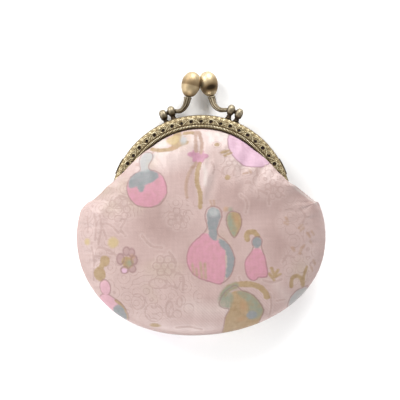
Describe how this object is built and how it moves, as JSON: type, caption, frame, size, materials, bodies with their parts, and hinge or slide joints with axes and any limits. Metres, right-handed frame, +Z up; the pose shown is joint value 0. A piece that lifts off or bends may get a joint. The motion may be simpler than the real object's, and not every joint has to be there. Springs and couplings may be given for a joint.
{
  "type": "kiss lock coin purse",
  "caption": "Soft round coin purse of figured pink brocade in a hinged, embossed brass arch frame with a two-ball kiss lock clasp, lying on its back.",
  "frame": {"origin": "middle of the bounding box's underside, on the surface that the purse lies on", "axes": "+X across the purse to the right as it is seen from the front, +Y from the pouch to the clasp, +Z up, out of the front panel"},
  "size_m": [0.1168, 0.1232, 0.0238],
  "materials": {
    "antique_brass": "embossed, darkened in the hollows and rubbed bright on the high places",
    "clasp_brass": "smooth, darkened with age and polished by handling",
    "brocade": "soft satin weave with a woven gourd and ribbon figure"
  },
  "bodies": {
    "root": {"frame_front": "antique_brass", "frame_back": "antique_brass", "rivet_left": "clasp_brass", "rivet_right": "clasp_brass", "clasp_arm_front": "clasp_brass", "clasp_arm_back": "clasp_brass", "clasp_ball_front": "clasp_brass", "clasp_ball_back": "clasp_brass", "panel_front": "brocade", "panel_back": "brocade"}
  },
  "joints": []
}
